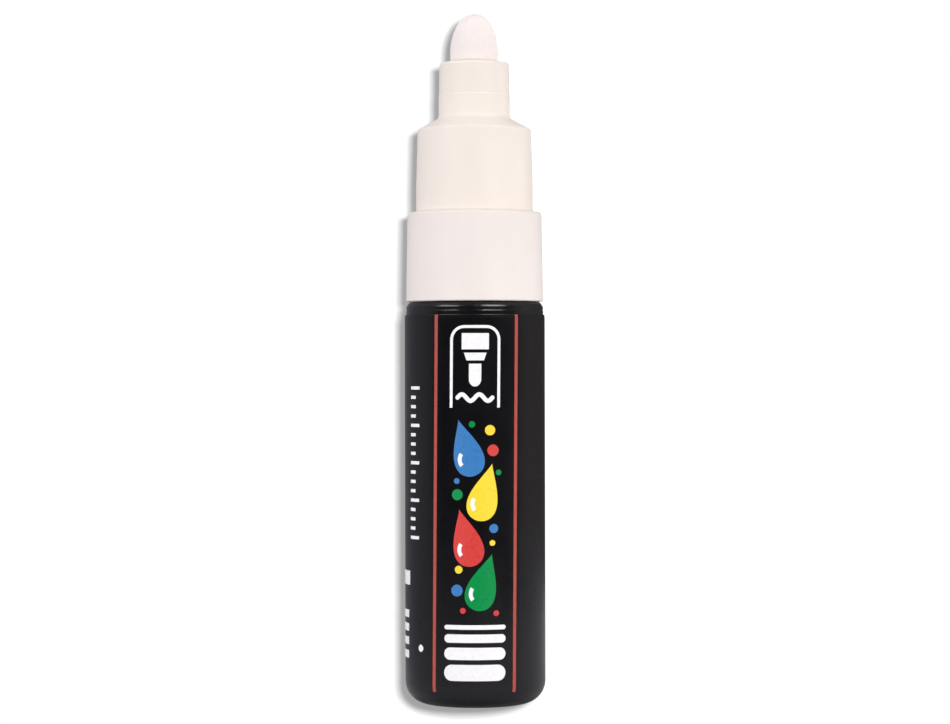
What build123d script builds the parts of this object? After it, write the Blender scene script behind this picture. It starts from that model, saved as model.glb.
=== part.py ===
from build123d import *
import math
import os

# Pump-valve paint marker, cap off, standing on its base with the nib up.
# Millimetres. The origin is the centre of the base, and +Z runs along the axis to the nib.

# Barrel: a moulded paint reservoir with a closed base, a rounded lip and a low rim inside it
barrel_radius = 10.75
barrel_height = 62.9
barrel_wall = 1.1
base_thickness = 1.8
base_corner = 3.35
foot_inset = 0.75
foot_width = 2.4
foot_recess = 0.6
rim_height = 0.15
rim_width = 0.5
lip_slope_height = 0.7
lip_slope_inset = 0.44
lip_round = 0.8
lip_top_round = 0.2
lip_inner_round = 0.2
lip_land = 0.25
lip_groove_width = 0.45
lip_groove_depth = 0.058
lip_groove_round = 0.05

# Printed film shrunk round the barrel and its bottom corner
film_thickness = 0.23
film_gap = 0.02
film_edge = 0.18
film_edge_slope = 0.6
film_edge_round = 0.15
film_wrap = 80.0
film_mouth_gap = 0.5

# Collar: a loose ring that covers the joint of barrel and holder
collar_height = 14.0
collar_wall = 1.3
collar_draft = 0.23
collar_round = 0.5
collar_foot_round = 0.2
collar_fit = 0.03
collar_lip_gap = 0.06

# Holder: plug, flange, cap seat and nose in one moulding
plug_length = 9.9
plug_wall = 1.72
plug_fit = 0.03
plug_round = 0.5
plug_snap_rise = 3.5
flange_width = 0.42
flange_height = 1.5
cap_seat_step = 0.27
cap_seat_length = 13.0
cap_land_length = 4.0
cap_seat_draft = 0.25
cap_seat_round = 0.45
shoulder_height = 1.8
nose_wall = 1.23
nose_length = 8.7
nose_draft = 0.06
nose_round = 0.45
nose_root_round = 1.0
nose_step = 0.06
nose_step_drop = 5.2
nose_step_slope = 0.2
mouth_round = 0.25
pocket_wall = 1.9
pocket_roof = 1.4

# Guide for the nib inside the holder, with ribs that leave paint and air channels
guide_channel = 0.6
guide_wall = 1.15
guide_gap = 0.3
rib_count = 6
rib_width = 0.9
rib_length = 13.0
rib_setback = 0.8
rib_fit = 0.05

# Nib: a bullet of bonded fibre with a tapered tail that rests on the valve stem
nib_radius = 3.75
nib_reach = 7.7
nib_dome_height = 5.8
nib_tip_radius = 2.9
nib_tail_radius = 2.4
nib_taper_length = 3.0
nib_tail_clearance = 4.0

# Valve: seat, seal, stem, spring and cage in the rear bore of the holder
press_travel = 2.0
valve_bore_depth = 17.0
valve_fit = 0.03
seat_thickness = 4.0
spigot_length = 3.0
spigot_fit = 0.04
spigot_round = 0.3
orifice_gap = 0.7
seal_margin = 0.9
seal_thickness = 1.2
seal_fit = 0.03
cage_reach = 6.0
cage_wall = 1.0
cage_floor = 1.5
cage_round = 0.5
cage_snap_rise = 5.0
window_count = 4
window_width = 4.0
window_sill = 0.8
drain_radius = 1.0
cutter_reach = 4
stem_rod_radius = 1.6
stem_core_radius = 1.9
stem_head_ledge = 0.6
stem_head_thickness = 1.4
stem_pilot_step = 0.4
stem_pilot_fit = 0.06
stem_pilot_recess = 0.3
stem_pilot_round = 0.3
stem_stop_gap = 0.1
spring_wire = 0.6
spring_core_gap = 0.5
spring_turns = 8
spring_end_turn_gap = 0.55
spring_seat_gap = 0.03

# Snap beads on the plug and on the cage, and their matching grooves
snap_width = 1.2
snap_height = 0.2
snap_round = 0.4

# Mixing ball, loose on the reservoir floor
ball_radius = 4.0
ball_rest_gap = 0.05

# Radii that follow from the sizes above
reservoir_radius = barrel_radius - barrel_wall
foot_radius = barrel_radius - base_corner - foot_inset
plug_radius = reservoir_radius - plug_fit
flange_radius = reservoir_radius + flange_width
collar_bore = barrel_radius - collar_wall
trunk_radius = collar_bore - collar_fit
cap_seat_radius = trunk_radius - cap_seat_step
pocket_radius = cap_seat_radius - pocket_wall
guide_bore = nib_radius + guide_channel
guide_radius = guide_bore + guide_wall
nose_radius = guide_bore + nose_wall
valve_bore_radius = plug_radius - plug_wall
seat_radius = valve_bore_radius - valve_fit
cage_bore = seat_radius - cage_wall
orifice_radius = stem_rod_radius + orifice_gap
stem_pilot_radius = stem_core_radius - stem_pilot_step
spring_radius = stem_core_radius + spring_core_gap + spring_wire / 2
stem_head_radius = spring_radius + spring_wire / 2 + stem_head_ledge
seal_radius = stem_head_radius + seal_margin

# Heights that follow from the sizes above
foot_height = film_gap + film_thickness
lip_top = barrel_height - rim_height
lip_groove_top = lip_top - lip_slope_height - lip_land
lip_groove_bottom = lip_groove_top - lip_groove_width
film_top = lip_groove_bottom - film_mouth_gap
plug_bottom = barrel_height - plug_length
plug_snap_middle = plug_bottom + plug_snap_rise
cage_snap_middle = plug_bottom + cage_snap_rise
flange_top = barrel_height + flange_height
collar_top = barrel_height + collar_height
cap_seat_top = collar_top + cap_seat_length
shoulder_top = cap_seat_top + shoulder_height
nose_top = shoulder_top + nose_length
seat_top = plug_bottom + valve_bore_depth
seat_bottom = seat_top - seat_thickness
seal_top = seat_bottom + seal_thickness
spigot_top = seat_top + spigot_length
nib_tail = spigot_top + press_travel + nib_tail_clearance
stem_head_bottom = seat_bottom - stem_head_thickness
cage_bottom = plug_bottom - cage_reach
cage_floor_top = cage_bottom + cage_floor


def turned(corners):
    """Solid turned about Z from the (radius, height, optional rounding) corners of its outline."""
    points = [corner[:2] for corner in corners]
    roundings = [corner[2] if len(corner) > 2 else 0 for corner in corners]
    outline = FilletPolyline(*points, radius=roundings, close=True)
    return revolve(make_face(Plane.XZ * outline), Axis.Z)


def ring_vee(radius, middle, width, rise, rounding):
    """Outline corners of a ring bead, or of a groove where rise is negative, from the lowest up."""
    half = width / 2
    return [(radius, middle - half), (radius + rise, middle, rounding), (radius, middle + half)]


def snap_vee(radius, middle):
    """Outline corners of a snap bead, or of the groove that takes it."""
    return ring_vee(radius, middle, snap_width, snap_height, snap_round)


def barrel():
    groove_middle = (lip_groove_top + lip_groove_bottom) / 2
    lip_groove = ring_vee(barrel_radius, groove_middle, lip_groove_width, -lip_groove_depth, lip_groove_round)
    return turned([
        (0, foot_recess),
        (foot_radius - foot_width, foot_recess),
        (foot_radius - foot_width, 0),
        (foot_radius, 0),
        (foot_radius, foot_height),
        (barrel_radius, foot_height, base_corner),
        *lip_groove,
        (barrel_radius, lip_top - lip_slope_height, lip_round),
        (barrel_radius - lip_slope_inset, lip_top, lip_top_round),
        (reservoir_radius + rim_width, lip_top),
        (reservoir_radius + rim_width, barrel_height),
        (reservoir_radius, barrel_height, lip_inner_round),
        *reversed(snap_vee(reservoir_radius, plug_snap_middle)),
        (reservoir_radius, base_thickness, base_corner - barrel_wall),
        (0, base_thickness),
    ])


def label_sleeve():
    corner_centre = (barrel_radius - base_corner, foot_height + base_corner)
    inner_radius = barrel_radius + film_gap
    outer_radius = inner_radius + film_thickness
    inner_arc = CenterArc(corner_centre, base_corner + film_gap, -film_wrap, film_wrap)
    outer_arc = CenterArc(corner_centre, base_corner + film_gap + film_thickness, -film_wrap, film_wrap)
    wall = FilletPolyline(
        outer_arc @ 1,
        (outer_radius, film_top - film_edge_slope),
        (inner_radius + film_edge, film_top),
        (inner_radius, film_top),
        inner_arc @ 1,
        radius=[0, film_edge_round, 0],
    )
    rolled_end = Line(inner_arc @ 0, outer_arc @ 0)
    outline = Curve() + [outer_arc, wall, inner_arc, rolled_end]
    return revolve(make_face(Plane.XZ * outline), Axis.Z)


def collar():
    skirt_bottom = barrel_height + collar_lip_gap
    skirt_bore = flange_radius + collar_fit
    return turned([
        (skirt_bore, skirt_bottom),
        (barrel_radius, skirt_bottom, collar_foot_round),
        (barrel_radius - collar_draft, collar_top, collar_round),
        (collar_bore, collar_top),
        (collar_bore, flange_top),
        (skirt_bore, flange_top),
    ])


def holder():
    step_height = nose_top - nose_step_drop
    nose_upper_radius = nose_radius - nose_step
    body = turned([
        (valve_bore_radius, plug_bottom),
        (plug_radius, plug_bottom, plug_round),
        *snap_vee(plug_radius, plug_snap_middle),
        (plug_radius, barrel_height),
        (flange_radius, barrel_height),
        (flange_radius, flange_top),
        (trunk_radius, flange_top),
        (trunk_radius, collar_top),
        (cap_seat_radius, collar_top),
        (cap_seat_radius, collar_top + cap_land_length),
        (cap_seat_radius - cap_seat_draft, cap_seat_top, cap_seat_round),
        (nose_radius, shoulder_top, nose_root_round),
        (nose_radius, step_height),
        (nose_upper_radius, step_height + nose_step_slope),
        (nose_upper_radius - nose_draft, nose_top, nose_round),
        (guide_bore, nose_top, mouth_round),
        (guide_bore, seat_top + guide_gap),
        (guide_radius, seat_top + guide_gap),
        (guide_radius, cap_seat_top - pocket_roof),
        (pocket_radius, cap_seat_top - pocket_roof),
        (pocket_radius, seat_top),
        (valve_bore_radius, seat_top),
        *reversed(snap_vee(valve_bore_radius, cage_snap_middle)),
    ])
    return body + guide_ribs()


def guide_ribs():
    """Ribs along the guide bore, rooted in its wall, that hold the nib on its axis."""
    rib_inner_radius = nib_radius + rib_fit
    rib_outer_radius = guide_bore + guide_wall / 2
    rib_span = rib_outer_radius - rib_inner_radius / 2
    bars = PolarLocations(rib_outer_radius - rib_span / 2, rib_count) * Rectangle(rib_span, rib_width)
    section = Sketch() + bars & Circle(rib_outer_radius)
    rib_bottom = nose_top - rib_setback - rib_length
    return extrude(Pos(0, 0, rib_bottom) * (section - Circle(rib_inner_radius)), rib_length)


def nib():
    """Bullet nib: a side arc runs off the shaft and meets the rounder tip arc in one tangent."""
    tip = nose_top + nib_reach
    dome_base = tip - nib_dome_height
    rise = nib_dome_height - nib_tip_radius
    narrowing = nib_radius - nib_tip_radius
    side_radius = (narrowing**2 + rise**2) / (2 * narrowing) + nib_tip_radius
    meeting_angle = math.degrees(math.atan2(rise, side_radius - nib_radius))
    side_arc = CenterArc((nib_radius - side_radius, dome_base), side_radius, 0, meeting_angle)
    tip_arc = CenterArc((0, tip - nib_tip_radius), nib_tip_radius, meeting_angle, 90 - meeting_angle)
    shaft = Polyline(
        (0, tip),
        (0, nib_tail),
        (nib_tail_radius, nib_tail),
        (nib_radius, nib_tail + nib_taper_length),
        (nib_radius, dome_base),
    )
    return revolve(make_face(Plane.XZ * (Curve() + [side_arc, tip_arc, shaft])), Axis.Z)


def valve_seat():
    spigot_radius = guide_bore - spigot_fit
    seal_pocket_radius = seal_radius + seal_fit
    return turned([
        (orifice_radius, seal_top),
        (seal_pocket_radius, seal_top),
        (seal_pocket_radius, seat_bottom),
        (seat_radius, seat_bottom),
        (seat_radius, seat_top),
        (spigot_radius, seat_top),
        (spigot_radius, spigot_top, spigot_round),
        (orifice_radius, spigot_top),
    ])


def valve_seal():
    return turned([
        (orifice_radius, seat_bottom),
        (seal_radius, seat_bottom),
        (seal_radius, seal_top),
        (orifice_radius, seal_top),
    ])


def valve_stem():
    pilot_bottom = cage_bottom + stem_pilot_recess
    core_bottom = cage_floor_top + press_travel + stem_stop_gap
    return turned([
        (0, pilot_bottom),
        (stem_pilot_radius, pilot_bottom, stem_pilot_round),
        (stem_pilot_radius, core_bottom),
        (stem_core_radius, core_bottom),
        (stem_core_radius, stem_head_bottom),
        (stem_head_radius, stem_head_bottom),
        (stem_head_radius, seat_bottom),
        (stem_rod_radius, seat_bottom),
        (stem_rod_radius, nib_tail),
        (0, nib_tail),
    ])


def valve_cage():
    pilot_hole = stem_pilot_radius + stem_pilot_fit
    cup = turned([
        (pilot_hole, cage_bottom),
        (seat_radius, cage_bottom, cage_round),
        *snap_vee(seat_radius, cage_snap_middle),
        (seat_radius, seat_bottom),
        (cage_bore, seat_bottom),
        (cage_bore, cage_floor_top),
        (pilot_hole, cage_floor_top),
    ])
    return cup - cage_windows() - cage_drains()


def cage_windows():
    """Cutters for the paint windows in the stretch of the cage that stands out of the plug."""
    window_height = plug_bottom - cage_floor_top - 2 * window_sill
    window = Box(cutter_reach * cage_wall, window_width, window_height)
    window_middle = (plug_bottom + cage_floor_top) / 2
    return Pos(0, 0, window_middle) * PolarLocations(seat_radius - cage_wall / 2, window_count) * window


def cage_drains():
    """Cutters for the paint holes in the cage floor, between the spring and the wall."""
    drain_ring = (spring_radius + spring_wire / 2 + cage_bore) / 2
    drain = Cylinder(drain_radius, cutter_reach * cage_floor)
    first_angle = 180 / window_count
    return Pos(0, 0, cage_bottom) * PolarLocations(drain_ring, window_count, start_angle=first_angle) * drain


def biarc(start, start_direction, end, end_direction):
    """Two arcs from start to end, tangent to each other and to the two unit directions."""
    chord = end - start
    directions = start_direction + end_direction
    a = 2 * start_direction.dot(end_direction) - 2
    b = -2 * chord.dot(directions)
    reach = (-b - math.sqrt(b * b - 4 * a * chord.dot(chord))) / (2 * a)
    first_knee = start + start_direction * reach
    second_knee = end - end_direction * reach
    joint = (first_knee + second_knee) / 2
    return [
        TangentArc(start, joint, tangent=start_direction),
        TangentArc(joint, end, tangent=second_knee - first_knee),
    ]


def spring_path():
    """Centreline of the spring wire in quarter turns, with a closer turn at each end."""
    clear = spring_wire / 2 + spring_seat_gap
    bottom = cage_floor_top + clear
    length = stem_head_bottom - clear - bottom
    turn_quarters = 4
    quarters = turn_quarters * spring_turns
    end_rise = (spring_wire + spring_end_turn_gap) / turn_quarters
    end_quarters = 2 * turn_quarters
    middle_rise = (length - end_quarters * end_rise) / (quarters - end_quarters)
    rises = []
    for q in range(quarters):
        in_end_turn = min(q, quarters - 1 - q) < turn_quarters
        rises.append(end_rise if in_end_turn else middle_rise)
    points = []
    directions = []
    for q in range(quarters + 1):
        angle = q * math.pi / 2
        slope = (rises[max(q - 1, 0)] + rises[min(q, quarters - 1)]) / math.pi
        height = bottom + sum(rises[:q])
        points.append(Vector(spring_radius * math.cos(angle), spring_radius * math.sin(angle), height))
        turn = Vector(-spring_radius * math.sin(angle), spring_radius * math.cos(angle), slope)
        directions.append(turn.normalized())
    arcs = []
    for q in range(quarters):
        arcs += biarc(points[q], directions[q], points[q + 1], directions[q + 1])
    return Wire(arcs), directions[0]


def valve_spring():
    path, direction = spring_path()
    section = Plane(origin=path @ 0, z_dir=direction) * Circle(spring_wire / 2)
    print_least_gap(path)
    return sweep(section, path=path)


def print_least_gap(path):
    """Print the least gap between turns of the spring, measured on points along its wire."""
    samples_a_turn = 24
    count = samples_a_turn * spring_turns
    points = [path @ (i / count) for i in range(count + 1)]
    far = samples_a_turn // 2
    gap = min(
        (points[i] - points[j]).length
        for i in range(count + 1)
        for j in range(i + far, count + 1)
    )
    print(f"least gap between spring turns {gap - spring_wire:.2f} mm")


def mixing_ball():
    return Pos(0, 0, base_thickness + ball_rest_gap + ball_radius) * Sphere(ball_radius)


pieces = [
    barrel,
    label_sleeve,
    collar,
    holder,
    nib,
    valve_seat,
    valve_seal,
    valve_stem,
    valve_spring,
    valve_cage,
    mixing_ball,
]
os.makedirs("parts", exist_ok=True)
for piece in pieces:
    export_step(piece(), f"parts/{piece.__name__}.step")
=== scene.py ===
import math

import bmesh
import bpy
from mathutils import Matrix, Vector, noise


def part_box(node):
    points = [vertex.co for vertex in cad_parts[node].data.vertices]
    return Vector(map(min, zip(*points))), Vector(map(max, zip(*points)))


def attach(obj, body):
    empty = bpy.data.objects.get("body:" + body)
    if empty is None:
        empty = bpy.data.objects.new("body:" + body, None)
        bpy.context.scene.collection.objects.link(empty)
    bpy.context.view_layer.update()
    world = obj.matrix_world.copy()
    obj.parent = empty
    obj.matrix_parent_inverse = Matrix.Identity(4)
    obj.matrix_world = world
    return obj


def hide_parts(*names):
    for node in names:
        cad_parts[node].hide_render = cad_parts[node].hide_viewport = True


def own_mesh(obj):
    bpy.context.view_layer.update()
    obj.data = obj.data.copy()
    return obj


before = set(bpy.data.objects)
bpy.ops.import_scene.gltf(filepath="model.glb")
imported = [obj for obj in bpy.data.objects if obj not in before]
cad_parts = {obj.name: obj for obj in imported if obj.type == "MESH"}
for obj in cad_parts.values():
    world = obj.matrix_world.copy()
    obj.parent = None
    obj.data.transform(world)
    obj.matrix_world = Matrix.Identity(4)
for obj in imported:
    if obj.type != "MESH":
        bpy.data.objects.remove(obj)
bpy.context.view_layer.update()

# Paint marker, cap off. Metres. The front of the label faces -Y, and +Z runs along the axis to the nib.
MM = 0.001

# Places read from the frame
sleeve_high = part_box("label_sleeve")[1]
nib_low, nib_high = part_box("nib")
spring_low, spring_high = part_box("valve_spring")
sleeve_radius = sleeve_high.x
nib_radius = nib_high.x

# Nib: the same bullet as the solid, with its fibres
nib_dome_height = 5.8 * MM
nib_tip_radius = 2.9 * MM
nib_tail_radius = 2.4 * MM
nib_taper_length = 3.0 * MM
nib_ring_pitch = 0.3 * MM
nib_sides = 240
fibre_width = 0.22 * MM
fibre_length = 2.6 * MM
fibre_depth = 0.03 * MM

# Spring: closed end turns, open turns between them
spring_wire = 0.6 * MM
spring_turns = 8
spring_end_pitch = 1.15 * MM
spring_steps_per_turn = 40
spring_wire_sides = 16

# Printed ink: how far it stands proud of the film, how deep it is keyed in, and how finely it bends
ink_lift = 0.02 * MM
second_ink_lift = 0.03 * MM
ink_depth = 0.07 * MM
bend_step = 0.35 * MM
corner_step = 0.1 * MM
curve_steps = 48

# Film: its bottom corner, and the slope of its top edge
film_corner = 3.6 * MM
film_slope_low = sleeve_high.z - 0.6 * MM
film_edge_inset = 0.05 * MM

# Label: its turn and lean on the barrel, and the plain stripe along each side of it. Here and below, places
# run along the arc from the middle of the front, and heights up from the base.
label_turn = 0.03 * MM
label_skew = 0.0096
label_middle = 32 * MM
stripe_arc = 6.55 * MM
stripe_width = 0.56 * MM
stripe_low = 2.65 * MM
stripe_high = sleeve_high.z - 0.08 * MM

# Nib sign: an arched line, and under it a holder, its shoulder, a nib and the stroke that it leaves
sign_arc = -0.18 * MM
arch_reach = 3.71 * MM
arch_line = 0.45 * MM
arch_corner = 2.0 * MM
arch_low = 46.45 * MM
arch_high = 58.9 * MM
sign_holder_width = 4.2 * MM
sign_holder_low = 55.4 * MM
sign_holder_high = 57.9 * MM
sign_shoulder_wide = 3.5 * MM
sign_shoulder_narrow = 2.7 * MM
sign_shoulder_low = 53.7 * MM
sign_shoulder_high = 54.9 * MM
sign_nib_width = 1.9 * MM
sign_nib_low = 49.7 * MM
sign_nib_high = 53.2 * MM
sign_nib_tip = 1.14 * MM
sign_stroke_height = 48.0 * MM
sign_stroke_length = 5.4 * MM
sign_stroke_swing = 0.5 * MM
sign_stroke_width = 0.66 * MM
sign_stroke_waves = 2

# Paint drops by colour: arc, height, radius and lean of each, in millimetres and degrees
drop_layout = {
    "blue": (-1.5, 40.3, 3.35, -16),
    "yellow": (1.5, 33.5, 3.35, 14),
    "red": (-1.4, 26.5, 3.35, -14),
    "green": (1.4, 19.7, 3.35, 16),
}
drop_stretch = 1.35
drop_taper = 1.5

# Spatter between the drops: arc, height and radius of each dot, in millimetres
dot_layout = {
    "blue": [(2.9, 27.9, 0.7), (-2.75, 18.4, 0.9), (-2.9, 35.2, 0.45)],
    "yellow": [(2.2, 43.0, 0.8), (-2.5, 21.6, 0.6), (2.7, 25.7, 0.45)],
    "red": [(2.7, 39.9, 0.9), (3.4, 14.9, 0.45), (-1.8, 15.3, 0.45)],
    "green": [(-2.8, 33.1, 0.85), (-0.6, 43.9, 0.5), (3.6, 36.5, 0.45)],
}

# Glint on a drop: depth of the drop's belly, the glint's reach from there and its width, as shares of the
# drop's radius, and the angles it spans
drop_belly = 0.56
glint_reach = 0.44
glint_width = 0.18
glint_start = math.radians(145)
glint_end = math.radians(220)

# Samples of line width, thin to thick from the top
sample_widths = [0.7 * MM, 1.3 * MM, 1.9 * MM, 2.5 * MM]
sample_gap = 0.73 * MM
sample_length = 9.7 * MM
sample_arc = 0.1 * MM
sample_high = 13.1 * MM

# Scale on the left of the label
scale_arc = -12.5 * MM
scale_low = 26.0 * MM
scale_pitch = 1.45 * MM
scale_ticks = 17
tick_width = 0.5 * MM
tick_length = 1.5 * MM
long_tick_length = 2.5 * MM
long_tick_every = 4

# Marks at the far left: a swatch, a column of dashes, and a dot
side_arc = -14.9 * MM
swatch_width = 4.2 * MM
swatch_low = 18.8 * MM
swatch_high = 21.0 * MM
dash_count = 4
dash_pitch = 2.1 * MM
dash_width = 3.4 * MM
dash_low = 7.4 * MM
dash_height = 1.2 * MM
side_dot_arc = -9.4 * MM
side_dot_height = 9.2 * MM
side_dot_radius = 0.55 * MM

# Colours as the eye sees them, 0 to 255
HOLDER_WHITE = (250, 240, 231)
COLLAR_WHITE = (246, 237, 232)
NIB_WHITE = (253, 243, 240)
PRINT_WHITE = (254, 253, 253)
PRINT_RED = (217, 68, 63)
PRINT_YELLOW = (254, 222, 61)
PRINT_GREEN = (4, 146, 74)
PRINT_BLUE = (61, 127, 192)
STRIPE_RED = (182, 86, 76)
drop_inks = {"blue": PRINT_BLUE, "yellow": PRINT_YELLOW, "red": PRINT_RED, "green": PRINT_GREEN}

# Middle range of a noise texture, where most of its values lie
noise_low = 0.3
noise_high = 0.7

# Stage: the pale floor that the marker lies on in the photograph, where the camera looks straight down.
# The marker stands up in this frame, so that floor is upright behind it. A table bounces light from below.
table_radius = 170 * MM
table_shift = 70 * MM
table_sides = 96
table_drop = 0.1 * MM
# The table's colour is painted shade at the back left and painted light at the front right, and its glow is
# painted light: the film reflects them and the table bounces them.
table_painted_shade = (0.22, 0.21, 0.25, 1)
table_painted_light = (0.86, 0.85, 0.88, 1)
table_blend = 130 * MM
table_painted_glow = 0.08
floor_gap = 0.5 * MM
floor_reach = 60 * MM
floor_margin = 30 * MM
floor_shade = 0.1
floor_glow = 0.35

# Room: brightness overhead, behind the camera, beside the marker, and behind it on the left and right
room_overhead = 0.1
room_front = 0.05
room_sides = 0.44
room_back_left = 0.32
room_back_right = 0.10
room_left_tint = (0.77, 0.76, 0.85, 1)
room_right_tint = (0.84, 0.78, 0.78, 1)

# Room fades: where one part of the room gives way to the next along an axis, which runs from -1 to 1
room_front_fade = (-0.6, -0.1)
room_back_fade = (0.0, 1.0)
room_top_fade = (0.3, 0.9)
room_side_fade = (-0.4, 0.4)
room_tint_fade = (-0.5, 0.5)

# Lamps: name, azimuth and elevation in degrees, distance, width and height in metres, share of daylight
shine_lamps = [
    ("left_softbox", -51, 40, 0.9, 0.5, 0.32, 0.40),
    ("right_softbox", 32, 40, 0.9, 0.5, 0.32, 0.58),
]
fill_lamps = [
    ("front_left_fill", -35, 0, 1.2, 0.9, 0.9, 0.56),
    ("front_right_fill", 35, 0, 1.2, 0.9, 0.9, 0.56),
    ("left_fill", -105, 0, 1.2, 0.9, 0.9, 0.29),
    ("right_fill", 105, 0, 1.2, 0.9, 0.9, 0.41),
    ("back_fill", 178, 4, 1.2, 0.9, 0.9, 0.45),
    ("top_fill", 0, 88, 1.2, 0.9, 0.9, 0.48),
]
floor_lamp = ("floor_lamp", 5.9, 4.0, 0.478, 0.054, 0.036, 7.8)

# Photograph: frame, scale on the marker's axis, and where the axis and the base lie in it
photo_width = 950
photo_height = 724
photo_pixels_per_mm = 6.364
photo_axis_column = 474.8
photo_base_row = 702.2
photo_roll = math.radians(0.12)
camera_distance = 450 * MM
camera_clip = 10 * MM
sensor_width = 36.0


def linear(colour, gain=1.0):
    """A 0 to 255 display colour as linear light."""
    channels = []
    for value in colour:
        share = value / 255
        if share <= 0.04045:
            channels.append(gain * share / 12.92)
        else:
            channels.append(gain * ((share + 0.055) / 1.055) ** 2.4)
    return (*channels, 1.0)


class Shader:
    """A node material under construction: a principled shader and helpers that feed its sockets."""

    def __init__(self, name):
        self.material = bpy.data.materials.new(name)
        self.material.use_nodes = True
        self.nodes = self.material.node_tree.nodes
        self.links = self.material.node_tree.links
        self.surface = self.nodes["Principled BSDF"]
        self.place = self.nodes.new("ShaderNodeTexCoord").outputs["Object"]

    def noise(self, size, detail=3, stretch=(1, 1, 1)):
        """Noise with features of that size in metres, stretched along the axes."""
        mapping = self.nodes.new("ShaderNodeMapping")
        mapping.inputs["Scale"].default_value = [1 / (size * share) for share in stretch]
        self.links.new(self.place, mapping.inputs["Vector"])
        texture = self.nodes.new("ShaderNodeTexNoise")
        texture.inputs["Scale"].default_value = 1.0
        texture.inputs["Detail"].default_value = detail
        self.links.new(mapping.outputs["Vector"], texture.inputs["Vector"])
        return texture.outputs["Fac"]

    def spread(self, factor, low, high):
        """The factor's middle range spread over low to high."""
        node = self.nodes.new("ShaderNodeMapRange")
        node.inputs["From Min"].default_value = noise_low
        node.inputs["From Max"].default_value = noise_high
        node.inputs["To Min"].default_value = low
        node.inputs["To Max"].default_value = high
        self.links.new(factor, node.inputs["Value"])
        return node.outputs["Result"]

    def blend(self, factor, dark, light):
        """Base colour between two linear colours."""
        mix = self.nodes.new("ShaderNodeMix")
        mix.data_type = "RGBA"
        mix.inputs["A"].default_value = dark
        mix.inputs["B"].default_value = light
        self.links.new(factor, mix.inputs["Factor"])
        self.links.new(mix.outputs["Result"], self.surface.inputs["Base Color"])

    def colour(self, factor, dark, light):
        """Base colour that varies with a noise between two linear colours."""
        self.blend(self.spread(factor, 0.0, 1.0), dark, light)

    def roughness(self, factor, low, high):
        """Roughness that varies with a noise between two levels."""
        self.links.new(self.spread(factor, low, high), self.surface.inputs["Roughness"])

    def bump(self, *layers):
        """Relief from (factor, height in metres) layers."""
        normal = None
        for factor, height in layers:
            node = self.nodes.new("ShaderNodeBump")
            node.inputs["Distance"].default_value = height
            self.links.new(factor, node.inputs["Height"])
            if normal is not None:
                self.links.new(normal, node.inputs["Normal"])
            normal = node.outputs["Normal"]
        self.links.new(normal, self.surface.inputs["Normal"])


def moulded_white(name, colour):
    """Satin white plastic: faint flow clouds, a fine mould grain and uneven gloss."""
    shader = Shader(name)
    clouds = shader.noise(5 * MM, detail=4, stretch=(1, 1, 2))
    grain = shader.noise(0.12 * MM, detail=2)
    flow = shader.noise(2.2 * MM, detail=3, stretch=(1, 1, 0.5))
    shader.colour(clouds, linear(colour, gain=0.965), linear(colour))
    shader.roughness(flow, low=0.36, high=0.46)
    shader.bump((grain, 0.004 * MM), (flow, 0.012 * MM))
    shader.surface.inputs["Specular IOR Level"].default_value = 0.25
    return shader.material


def barrel_black():
    """Gloss black moulding with a slight drag along the axis."""
    shader = Shader("barrel_black")
    drag = shader.noise(0.8 * MM, detail=3, stretch=(1, 1, 6))
    grain = shader.noise(0.15 * MM, detail=2)
    shader.colour(drag, (0.004, 0.004, 0.0045, 1), (0.0075, 0.0075, 0.008, 1))
    shader.roughness(drag, low=0.15, high=0.24)
    shader.bump((grain, 0.003 * MM), (drag, 0.006 * MM))
    return shader.material


def label_film():
    """Black shrink film: slow waves from the shrinking, fine haze and a few rubbed patches."""
    shader = Shader("label_film")
    waves = shader.noise(4.5 * MM, detail=2, stretch=(1, 1, 3))
    haze = shader.noise(0.35 * MM, detail=3)
    rubs = shader.noise(7 * MM, detail=5, stretch=(1, 1, 1.6))
    shader.colour(rubs, (0.0014, 0.0012, 0.0022, 1), (0.0028, 0.0025, 0.0040, 1))
    shader.roughness(rubs, low=0.25, high=0.34)
    shader.bump((haze, 0.0025 * MM), (waves, 0.02 * MM))
    return shader.material


def print_ink(name, colour):
    """Ink printed on the film: slight mottling and the film's own waves."""
    shader = Shader(name)
    mottle = shader.noise(0.6 * MM, detail=1)
    waves = shader.noise(4.5 * MM, detail=2, stretch=(1, 1, 3))
    shader.colour(mottle, linear(colour, gain=0.95), linear(colour))
    shader.roughness(mottle, low=0.26, high=0.34)
    shader.bump((mottle, 0.001 * MM), (waves, 0.02 * MM))
    shader.surface.inputs["Specular IOR Level"].default_value = 0.2
    return shader.material


def nib_fibre():
    """Bonded polyester fibre: matt, with strands along the axis."""
    shader = Shader("nib_fibre")
    strands = shader.noise(0.09 * MM, detail=3, stretch=(1, 1, 14))
    felt = shader.noise(0.25 * MM, detail=4)
    shader.colour(strands, linear(NIB_WHITE, gain=0.94), linear(NIB_WHITE, gain=1.01))
    shader.roughness(felt, low=0.85, high=0.97)
    shader.bump((strands, 0.025 * MM), (felt, 0.02 * MM))
    shader.surface.inputs["Specular IOR Level"].default_value = 0.25
    return shader.material


def valve_plastic():
    """Natural, slightly milky moulding."""
    shader = Shader("valve_plastic")
    clouds = shader.noise(1.8 * MM, detail=4)
    grain = shader.noise(0.1 * MM, detail=2)
    shader.colour(clouds, (0.66, 0.66, 0.62, 1), (0.76, 0.76, 0.73, 1))
    shader.roughness(clouds, low=0.42, high=0.55)
    shader.bump((grain, 0.004 * MM))
    return shader.material


def seal_rubber():
    """Matt black elastomer with a bloom."""
    shader = Shader("seal_rubber")
    bloom = shader.noise(0.6 * MM, detail=4)
    shader.colour(bloom, (0.012, 0.012, 0.012, 1), (0.03, 0.03, 0.03, 1))
    shader.roughness(bloom, low=0.7, high=0.88)
    shader.bump((bloom, 0.006 * MM))
    return shader.material


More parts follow.
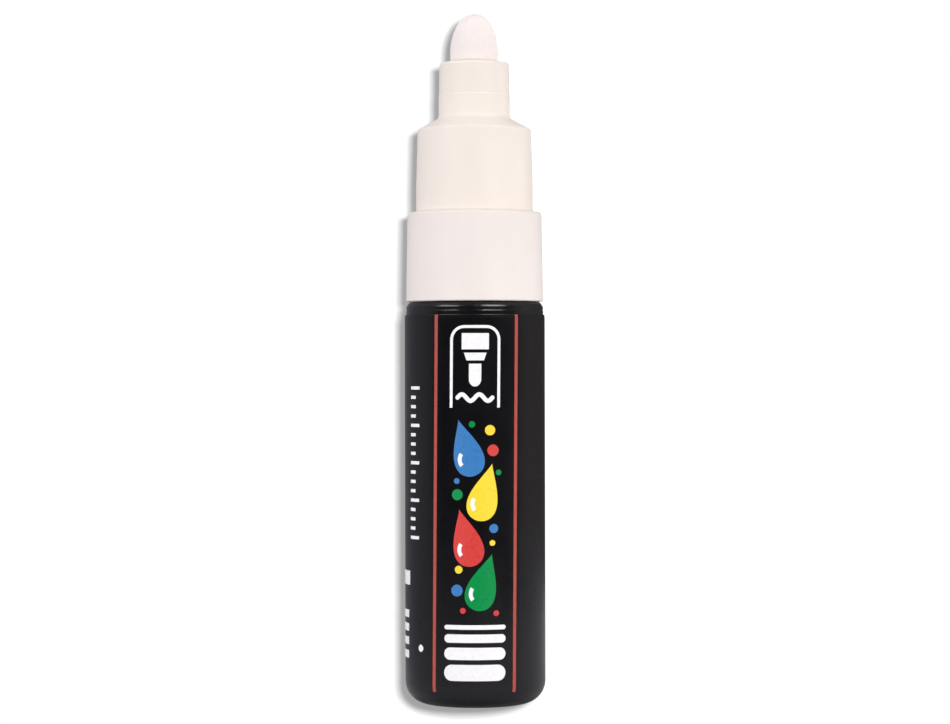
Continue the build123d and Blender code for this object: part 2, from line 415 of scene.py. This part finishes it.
def drawn_steel(name, light, low, high):
    """Bare steel with the marks of drawing or polishing, and its roughness from low to high."""
    shader = Shader(name)
    drag = shader.noise(0.1 * MM, detail=3)
    shade = 0.8
    dark = tuple(shade * value for value in light)
    shader.colour(drag, (*dark, 1), (*light, 1))
    shader.roughness(drag, low=low, high=high)
    shader.bump((drag, 0.002 * MM))
    shader.surface.inputs["Metallic"].default_value = 1.0
    return shader.material


def dress_nodes(material, *names):
    """Gives CAD nodes a finished material."""
    for name in names:
        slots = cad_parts[name].data.materials
        slots.clear()
        slots.append(material)


def add_piece(name, mesh, material, body):
    """A new visible piece that rides on a body."""
    piece = bpy.data.objects.new(name, mesh)
    bpy.context.scene.collection.objects.link(piece)
    mesh.materials.append(material)
    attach(piece, body)
    return piece


def skin_rings(shell, rings):
    """Quads between neighbouring rings of equal length, and a flat cap on the first."""
    count = len(rings[0])
    for lower, upper in zip(rings, rings[1:]):
        for i in range(count):
            j = (i + 1) % count
            shell.faces.new((lower[i], lower[j], upper[j], upper[i]))
    shell.faces.new(tuple(reversed(rings[0])))


def finish_mesh(name, shell):
    """A bmesh as smooth-shaded mesh data."""
    for face in shell.faces:
        face.smooth = True
    mesh = bpy.data.meshes.new(name)
    shell.to_mesh(mesh)
    shell.free()
    return mesh


def nib_profile():
    """(radius, height) points from the tail to the tip: taper, shank, side arc and tip arc."""
    dome_base = nib_high.z - nib_dome_height
    tip_centre = nib_high.z - nib_tip_radius
    rise = tip_centre - dome_base
    side_radius = (nib_radius**2 + rise**2 - nib_tip_radius**2) / (2 * (nib_radius - nib_tip_radius))
    meet = math.atan2(rise, side_radius - nib_radius)
    shank_low = nib_low.z + nib_taper_length
    corners = [(nib_tail_radius, nib_low.z), (nib_radius, shank_low), (nib_radius, dome_base)]
    points = []
    for (radius, height), (next_radius, next_height) in zip(corners, corners[1:]):
        steps = math.ceil((next_height - height) / nib_ring_pitch)
        for k in range(steps):
            ring_radius = radius + (next_radius - radius) * k / steps
            points.append((ring_radius, height + (next_height - height) * k / steps))
    side_steps = math.ceil(side_radius * meet / nib_ring_pitch)
    for k in range(side_steps):
        turn = meet * k / side_steps
        ring_radius = nib_radius - side_radius * (1 - math.cos(turn))
        points.append((ring_radius, dome_base + side_radius * math.sin(turn)))
    tip_steps = math.ceil(nib_tip_radius * (math.pi / 2 - meet) / nib_ring_pitch)
    for k in range(tip_steps):
        turn = meet + (math.pi / 2 - meet) * k / tip_steps
        points.append((nib_tip_radius * math.cos(turn), tip_centre + nib_tip_radius * math.sin(turn)))
    return points


def fibre_dip(x, y, z):
    """How far the surface sinks between strands at a point. The noise runs from -1 to 1."""
    along = Vector((x / fibre_width, y / fibre_width, z / fibre_length))
    return fibre_depth * (0.5 + 0.5 * noise.noise(along))


def build_nib():
    """The bullet nib with strands of fibre in its surface."""
    shell = bmesh.new()
    rings = []
    for radius, height in nib_profile():
        ring = []
        for i in range(nib_sides):
            turn = 2 * math.pi * i / nib_sides
            dip = fibre_dip(radius * math.cos(turn), radius * math.sin(turn), height)
            reach = radius - dip
            ring.append(shell.verts.new((reach * math.cos(turn), reach * math.sin(turn), height)))
        rings.append(ring)
    skin_rings(shell, rings)
    tip = shell.verts.new((0, 0, nib_high.z))
    for i in range(nib_sides):
        shell.faces.new((rings[-1][i], rings[-1][(i + 1) % nib_sides], tip))
    piece = add_piece("nib_bullet", finish_mesh("nib_bullet", shell), nib_fibre(), "nib")
    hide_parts("nib")


def spring_height(turn, low, high):
    """Height of the wire's centre after that many turns: close pitch in the end turns, open between."""
    open_pitch = (high - low - 2 * spring_end_pitch) / (spring_turns - 2)
    if turn <= 1:
        return low + spring_end_pitch * turn
    if turn >= spring_turns - 1:
        return high - spring_end_pitch * (spring_turns - turn)
    return low + spring_end_pitch + open_pitch * (turn - 1)


def build_spring():
    """The valve spring at rest. The real spring shortens as the nib is pressed; this coil stays as built.
    """
    coil_radius = spring_high.x - spring_wire / 2
    low = spring_low.z + spring_wire / 2
    high = spring_high.z - spring_wire / 2
    shell = bmesh.new()
    rings = []
    for step in range(spring_turns * spring_steps_per_turn + 1):
        turn = step / spring_steps_per_turn
        angle = 2 * math.pi * turn
        outward = Vector((math.cos(angle), math.sin(angle), 0))
        centre = coil_radius * outward + Vector((0, 0, spring_height(turn, low, high)))
        ring = []
        for i in range(spring_wire_sides):
            side = 2 * math.pi * i / spring_wire_sides
            reach = spring_wire / 2 * (math.cos(side) * outward - Vector((0, 0, math.sin(side))))
            ring.append(shell.verts.new(centre + reach))
        rings.append(ring)
    skin_rings(shell, rings)
    shell.faces.new(rings[-1])
    steel = drawn_steel("spring_steel", (0.56, 0.56, 0.58), low=0.25, high=0.4)
    mesh = finish_mesh("valve_spring_coil", shell)
    piece = add_piece("valve_spring_coil", mesh, steel, "marker_body")
    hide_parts("valve_spring")
    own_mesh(piece)


def film_radius(height):
    """Radius of the film's face, which curls in at its bottom corner and slopes in at its top edge."""
    if height < film_corner:
        return sleeve_radius - film_corner + math.sqrt(film_corner**2 - (film_corner - height) ** 2)
    if height > film_slope_low:
        slope_height = sleeve_high.z - film_slope_low
        return sleeve_radius - film_edge_inset * (height - film_slope_low) / slope_height
    return sleeve_radius


def on_film(arc, height, lift):
    """A point on the label, which is a little askew: arc from the front, height, and lift off the film."""
    turn = (arc + label_turn + label_skew * (height - label_middle)) / sleeve_radius
    radius = film_radius(height) + lift
    return (radius * math.sin(turn), -radius * math.cos(turn), height)


def cut_shell(shell, place, direction):
    """Adds edges to the mesh along a plane."""
    everything = [*shell.verts, *shell.edges, *shell.faces]
    bmesh.ops.bisect_plane(shell, geom=everything, plane_co=place, plane_no=direction)


def cut_for_bending(shell, outlines):
    """Adds the edges at which flat ink bends round the film, over its corner and along its top edge."""
    arcs = [arc for outline in outlines for arc, height in outline]
    for k in range(math.ceil(min(arcs) / bend_step), math.floor(max(arcs) / bend_step) + 1):
        cut_shell(shell, (k * bend_step, 0, 0), (1, 0, 0))
    lowest = min(height for outline in outlines for arc, height in outline)
    corner_cuts = max(0, math.ceil((film_corner - lowest) / corner_step))
    for height in (film_slope_low, *(film_corner - k * corner_step for k in range(corner_cuts))):
        cut_shell(shell, (0, height, 0), (0, 1, 0))


def print_on_film(name, outlines, material, lift=ink_lift):
    """Closed outlines of (arc, height) points as thin ink keyed into the film and bent round it."""
    shell = bmesh.new()
    for outline in outlines:
        shell.faces.new([shell.verts.new((arc, height, 0)) for arc, height in outline])
    cut_for_bending(shell, outlines)
    grown = bmesh.ops.extrude_face_region(shell, geom=list(shell.faces), use_keep_orig=True)
    for vertex in grown["geom"]:
        if isinstance(vertex, bmesh.types.BMVert):
            vertex.co.z = -ink_depth
    bmesh.ops.recalc_face_normals(shell, faces=shell.faces)
    for edge in shell.edges:
        edge.smooth = len({round(abs(face.normal.z)) for face in edge.link_faces}) == 1
    for vertex in shell.verts:
        arc, height, depth = vertex.co
        vertex.co = on_film(arc, height, lift + depth)
    add_piece(name, finish_mesh(name, shell), material, "marker_body")


def bar(arc, low, width, high):
    """An upright rectangle centred on arc."""
    left = arc - width / 2
    right = arc + width / 2
    return [(left, low), (right, low), (right, high), (left, high)]


def circle_points(arc, height, radius, turns):
    """Points on a circle round a place, at those angles."""
    return [(arc + radius * math.cos(turn), height + radius * math.sin(turn)) for turn in turns]


def rounded_bar(arc, height, length, width):
    """A level bar with round ends, centred on arc and height."""
    radius = width / 2
    half_turn = curve_steps // 2
    points = []
    for side, start in ((1, -math.pi / 2), (-1, math.pi / 2)):
        centre = arc + side * (length / 2 - radius)
        turns = [start + math.pi * k / half_turn for k in range(half_turn + 1)]
        points += circle_points(centre, height, radius, turns)
    return points


def arch(arc, low, high, reach, width, corner):
    """A line up the left, over the top with round corners, and down the right."""
    quarter_turn = curve_steps // 4
    edges = []
    for offset in (width / 2, -width / 2):
        radius = corner + offset
        edge = [(arc - reach - offset, low)]
        for side, start in ((-1, math.pi), (1, math.pi / 2)):
            centre = arc + side * (reach - corner)
            turns = [start - math.pi / 2 * k / quarter_turn for k in range(quarter_turn + 1)]
            edge += circle_points(centre, high - corner, radius, turns)
        edge.append((arc + reach + offset, low))
        edges.append(edge)
    outer, inner = edges
    return outer + inner[::-1]


def drop(arc, height, radius, lean):
    """A paint drop whose point leans by that angle from upright."""
    points = []
    for k in range(curve_steps):
        turn = 2 * math.pi * k / curve_steps
        x = radius * math.sin(turn) * math.sin(turn / 2) ** drop_taper
        y = drop_stretch * radius * math.cos(turn)
        across = x * math.cos(lean) + y * math.sin(lean)
        up = y * math.cos(lean) - x * math.sin(lean)
        points.append((arc + across, height + up))
    return points


def disc(arc, height, radius):
    """A round dot."""
    turns = [2 * math.pi * k / curve_steps for k in range(curve_steps)]
    return circle_points(arc, height, radius, turns)


def sweep(arc, height, radius, width, start, end):
    """Part of a ring, from one angle to another."""
    turns = [start + (end - start) * k / curve_steps for k in range(curve_steps + 1)]
    outer = circle_points(arc, height, radius + width / 2, turns)
    inner = circle_points(arc, height, radius - width / 2, turns)
    return outer + inner[::-1]


def squiggle(arc, height, length, swing, width, waves):
    """A wavy brush stroke along the arc, of even width, with round ends."""
    steps = curve_steps * waves // 2
    half_turn = curve_steps // 2
    radius = width / 2
    steepest = 2 * math.pi * waves * swing / length
    upper = []
    lower = []
    for k in range(steps + 1):
        phase = 2 * math.pi * waves * k / steps
        x = arc + length * (k / steps - 0.5)
        y = height + swing * math.sin(phase)
        lean = math.atan(steepest * math.cos(phase))
        aside = radius * math.sin(lean)
        up = radius * math.cos(lean)
        upper.append((x - aside, y + up))
        lower.append((x + aside, y - up))
    end_lean = math.atan(steepest)
    ends = []
    for side in (1, -1):
        x = arc + side * length / 2
        turns = [end_lean - side * math.pi / 2 + math.pi * k / half_turn for k in range(1, half_turn)]
        ends.append(circle_points(x, height, radius, turns))
    right_end, left_end = ends
    return lower + right_end + upper[::-1] + left_end


def bullet(arc, low, high, width, tip):
    """A nib seen from the side, its round tip pointing down."""
    radius = width / 2
    half_turn = curve_steps // 2
    points = [(arc + radius, high), (arc - radius, high)]
    for k in range(half_turn + 1):
        turn = math.pi + math.pi * k / half_turn
        points.append((arc + radius * math.cos(turn), low + tip + tip * math.sin(turn)))
    return points


def print_stripes():
    """A plain stripe along each side of the label."""
    stripes = [bar(side * stripe_arc, stripe_low, stripe_width, stripe_high) for side in (-1, 1)]
    print_on_film("print_stripes", stripes, print_ink("ink_stripe", STRIPE_RED))


def print_nib_sign():
    """A nib and the stroke it leaves, under an arched line."""
    line = arch(sign_arc, arch_low, arch_high, arch_reach, arch_line, arch_corner)
    print_on_film("print_sign_arch", [line], white_ink)
    holder = bar(sign_arc, sign_holder_low, sign_holder_width, sign_holder_high)
    shoulder = [
        (sign_arc - sign_shoulder_wide / 2, sign_shoulder_high),
        (sign_arc - sign_shoulder_narrow / 2, sign_shoulder_low),
        (sign_arc + sign_shoulder_narrow / 2, sign_shoulder_low),
        (sign_arc + sign_shoulder_wide / 2, sign_shoulder_high),
    ]
    point = bullet(sign_arc, sign_nib_low, sign_nib_high, sign_nib_width, sign_nib_tip)
    stroke = squiggle(
        sign_arc,
        sign_stroke_height,
        sign_stroke_length,
        sign_stroke_swing,
        sign_stroke_width,
        sign_stroke_waves,
    )
    print_on_film("print_nib_sign", [holder, shoulder, point, stroke], white_ink)


def print_paint_drops():
    """A loose column of paint drops and spatter in four colours, each drop with a white glint."""
    glints = []
    for colour, (arc, height, size, tilt) in drop_layout.items():
        radius = size * MM
        lean = math.radians(tilt)
        outlines = [drop(arc * MM, height * MM, radius, lean)]
        belly_arc = arc * MM - drop_belly * radius * math.sin(lean)
        belly_height = height * MM - drop_belly * radius * math.cos(lean)
        reach = glint_reach * radius
        glints.append(sweep(belly_arc, belly_height, reach, glint_width * radius, glint_start, glint_end))
        for dot in dot_layout[colour]:
            outlines.append(disc(*(value * MM for value in dot)))
        print_on_film(f"print_drops_{colour}", outlines, print_ink(f"ink_{colour}", drop_inks[colour]))
    print_on_film("print_drop_glints", glints, white_ink, second_ink_lift)


def print_line_samples():
    """Plain lines with round ends, from thin to thick."""
    samples = []
    high = sample_high
    for width in sample_widths:
        samples.append(rounded_bar(sample_arc, high - width / 2, sample_length, width))
        high -= width + sample_gap
    print_on_film("print_line_samples", samples, white_ink)


def print_side_scale():
    """Ticks of an even scale on the left of the label."""
    ticks = []
    for k in range(scale_ticks):
        low = scale_low + scale_pitch * k
        length = tick_length if k % long_tick_every else long_tick_length
        ticks.append(bar(scale_arc + length / 2, low, length, low + tick_width))
    print_on_film("print_side_scale", ticks, white_ink)


def print_side_marks():
    """A swatch, a column of dashes and a dot, at the far left."""
    marks = [bar(side_arc, swatch_low, swatch_width, swatch_high)]
    for k in range(dash_count):
        low = dash_low + dash_pitch * k
        marks.append(bar(side_arc, low, dash_width, low + dash_height))
    marks.append(disc(side_dot_arc, side_dot_height, side_dot_radius))
    print_on_film("print_side_marks", marks, white_ink)


def print_label():
    """Everything printed on the film."""
    print_stripes()
    print_line_samples()
    print_nib_sign()
    print_paint_drops()
    print_side_scale()
    print_side_marks()


def add_sheet(name, corners, material):
    """A flat stage surface."""
    mesh = bpy.data.meshes.new(name)
    mesh.from_pydata(corners, [], [range(len(corners))])
    sheet = bpy.data.objects.new(name, mesh)
    bpy.context.scene.collection.objects.link(sheet)
    mesh.materials.append(material)
    return sheet


def table_top():
    """Table out of the camera's sight: painted shade at the back left, painted light at the front right,
    and a faint glow of painted light.
    """
    shader = Shader("table_top")
    axes = shader.nodes.new("ShaderNodeSeparateXYZ")
    shader.links.new(shader.place, axes.inputs[0])
    diagonal = shader.nodes.new("ShaderNodeMath")
    diagonal.operation = "SUBTRACT"
    shader.links.new(axes.outputs["X"], diagonal.inputs[0])
    shader.links.new(axes.outputs["Y"], diagonal.inputs[1])
    across = shader.nodes.new("ShaderNodeMapRange")
    across.inputs["From Min"].default_value = -table_blend
    across.inputs["From Max"].default_value = table_blend
    shader.links.new(diagonal.outputs[0], across.inputs["Value"])
    # Painted shade and light: darker to the back left, paler to the front right.
    shader.blend(across.outputs["Result"], table_painted_shade, table_painted_light)
    shader.roughness(shader.noise(20 * MM), low=0.8, high=0.9)
    # Painted light: the table glows though it is no lamp.
    shader.surface.inputs["Emission Color"].default_value = (1, 1, 1, 1)
    shader.surface.inputs["Emission Strength"].default_value = table_painted_glow
    return shader.material


def pale_floor():
    """White floor that keeps shadows: a glow to what sees it directly, a lit face, and a clear back."""
    material = bpy.data.materials.new("pale_floor")
    material.use_nodes = True
    nodes = material.node_tree.nodes
    links = material.node_tree.links
    nodes.clear()
    face = nodes.new("ShaderNodeBsdfDiffuse")
    face.inputs["Color"].default_value = (floor_shade, floor_shade, floor_shade, 1)
    glow = nodes.new("ShaderNodeEmission")
    glow.inputs["Strength"].default_value = floor_glow
    both = nodes.new("ShaderNodeAddShader")
    links.new(face.outputs[0], both.inputs[0])
    links.new(glow.outputs[0], both.inputs[1])
    clear = nodes.new("ShaderNodeBsdfTransparent")
    side = nodes.new("ShaderNodeNewGeometry")
    mix = nodes.new("ShaderNodeMixShader")
    links.new(side.outputs["Backfacing"], mix.inputs["Fac"])
    links.new(both.outputs[0], mix.inputs[1])
    links.new(clear.outputs[0], mix.inputs[2])
    output = nodes.new("ShaderNodeOutputMaterial")
    links.new(mix.outputs[0], output.inputs["Surface"])
    return material


def build_stage():
    """The table, and the floor close behind the marker, which takes its shadow and lights nothing."""
    rim = []
    for k in range(table_sides):
        turn = 2 * math.pi * k / table_sides
        y = table_shift + table_radius * math.sin(turn)
        rim.append((table_radius * math.cos(turn), y, -table_drop))
    table = add_sheet("stage_table", rim, table_top())
    table.visible_camera = False
    table.visible_shadow = False
    depth = sleeve_radius + floor_gap
    low = -floor_margin
    high = nib_high.z + floor_margin
    corners = [(-floor_reach, low), (floor_reach, low), (floor_reach, high), (-floor_reach, high)]
    floor = add_sheet("stage_floor", [(x, depth, z) for x, z in corners], pale_floor())
    floor.visible_diffuse = False
    floor.visible_glossy = False
    floor.visible_shadow = False
    return floor


def build_world():
    """White to camera and transmission rays, and to the rest a dim room that is brightest at the sides."""
    world = bpy.data.worlds.new("studio")
    bpy.context.scene.world = world
    world.use_nodes = True
    nodes = world.node_tree.nodes
    links = world.node_tree.links
    nodes.clear()
    output = nodes.new("ShaderNodeOutputWorld")
    place = nodes.new("ShaderNodeTexCoord")
    axes = nodes.new("ShaderNodeSeparateXYZ")
    links.new(place.outputs["Generated"], axes.inputs[0])

    def ramp(axis, fade, low, high):
        """A level that passes from low to high along an axis."""
        start, end = fade
        node = nodes.new("ShaderNodeMapRange")
        node.interpolation_type = "SMOOTHSTEP"
        node.inputs["From Min"].default_value = start
        node.inputs["From Max"].default_value = end
        node.inputs["To Min"].default_value = low
        node.inputs["To Max"].default_value = high
        links.new(axes.outputs[axis], node.inputs["Value"])
        return node.outputs["Result"]

    def join(operation, first, second):
        """Two levels joined by a math node."""
        node = nodes.new("ShaderNodeMath")
        node.operation = operation
        links.new(first, node.inputs[0])
        links.new(second, node.inputs[1])
        return node.outputs[0]

    back_level = ramp("X", room_side_fade, room_back_left, room_back_right)
    back = join("MULTIPLY", back_level, ramp("Y", room_back_fade, 0.0, 1.0))
    walls = join("ADD", back, ramp("Y", room_back_fade, room_sides, 0.0))
    lit_walls = join("MULTIPLY", walls, ramp("Y", room_front_fade, 0.0, 1.0))
    overhead = ramp("Z", room_top_fade, 0.0, room_overhead)
    ends = join("ADD", overhead, ramp("Y", room_front_fade, room_front, 0.0))
    tint = nodes.new("ShaderNodeMix")
    tint.data_type = "RGBA"
    tint.inputs["A"].default_value = room_left_tint
    tint.inputs["B"].default_value = room_right_tint
    links.new(ramp("X", room_tint_fade, 0.0, 1.0), tint.inputs["Factor"])
    room = nodes.new("ShaderNodeBackground")
    links.new(tint.outputs["Result"], room.inputs["Color"])
    links.new(join("ADD", lit_walls, ends), room.inputs["Strength"])
    white = nodes.new("ShaderNodeBackground")
    white.inputs["Color"].default_value = (1, 1, 1, 1)
    path = nodes.new("ShaderNodeLightPath")
    seen = join("MAXIMUM", path.outputs["Is Camera Ray"], path.outputs["Is Transmission Ray"])
    mix = nodes.new("ShaderNodeMixShader")
    links.new(seen, mix.inputs["Fac"])
    links.new(room.outputs[0], mix.inputs[1])
    links.new(white.outputs[0], mix.inputs[2])
    links.new(mix.outputs[0], output.inputs["Surface"])


def add_lamp(name, azimuth, elevation, distance, width, height, share):
    """A lamp aimed at the marker's middle. Share is how much of full daylight a facing surface gets."""
    data = bpy.data.lights.new(name, "AREA")
    data.shape = "RECTANGLE"
    data.size = width
    data.size_y = height
    data.energy = share * math.pi**2 * distance**2
    lamp = bpy.data.objects.new(name, data)
    bpy.context.scene.collection.objects.link(lamp)
    middle = Vector((0, 0, nib_high.z / 2))
    side = math.radians(azimuth)
    up = math.radians(elevation)
    outward = Vector((math.cos(up) * math.sin(side), -math.cos(up) * math.cos(side), math.sin(up)))
    lamp.location = middle + distance * outward
    lamp.rotation_euler = (-outward).to_track_quat("-Z", "Y").to_euler()
    return lamp


def light_floor(lamps, floor, state):
    """Lamps that light the floor alone, or with the state EXCLUDE everything but the floor."""
    group = bpy.data.collections.new(f"floor_{state.lower()}")
    group.objects.link(floor)
    group.collection_objects[0].light_linking.link_state = state
    for lamp in lamps:
        lamp.light_linking.receiver_collection = group


def build_lights(floor):
    """Softboxes for reflections, fills for an even light, and a lamp for the shadow on the floor."""
    softboxes = [add_lamp(*lamp) for lamp in shine_lamps]
    for lamp in softboxes:
        lamp.visible_diffuse = False
    fills = [add_lamp(*lamp) for lamp in fill_lamps]
    for lamp in fills:
        lamp.visible_glossy = False
    light_floor(softboxes + fills, floor, "EXCLUDE")
    light_floor([add_lamp(*floor_lamp)], floor, "INCLUDE")


def build_camera():
    """The photograph's camera: square on to the marker, at half its height."""
    data = bpy.data.cameras.new("camera")
    data.sensor_width = sensor_width
    focal_pixels = photo_pixels_per_mm * camera_distance / MM
    data.lens = sensor_width * focal_pixels / photo_width
    data.clip_start = camera_clip
    camera = bpy.data.objects.new("camera", data)
    bpy.context.scene.collection.objects.link(camera)
    across = (photo_width / 2 - photo_axis_column) / photo_pixels_per_mm * MM
    height = (photo_base_row - photo_height / 2) / photo_pixels_per_mm * MM
    camera.location = (across, -camera_distance, height)
    camera.rotation_euler = (math.pi / 2, photo_roll, 0)
    bpy.context.scene.camera = camera


white_ink = print_ink("ink_white", PRINT_WHITE)
dress_nodes(barrel_black(), "barrel")
dress_nodes(label_film(), "label_sleeve")
dress_nodes(moulded_white("collar_white", COLLAR_WHITE), "collar")
dress_nodes(moulded_white("holder_white", HOLDER_WHITE), "holder")
dress_nodes(valve_plastic(), "valve_seat", "valve_stem", "valve_cage")
dress_nodes(seal_rubber(), "valve_seal")
dress_nodes(drawn_steel("ball_steel", (0.62, 0.62, 0.64), low=0.08, high=0.16), "mixing_ball")
build_nib()
build_spring()
print_label()
floor = build_stage()
build_world()
build_lights(floor)
build_camera()
bpy.context.scene.view_settings.view_transform = "Standard"
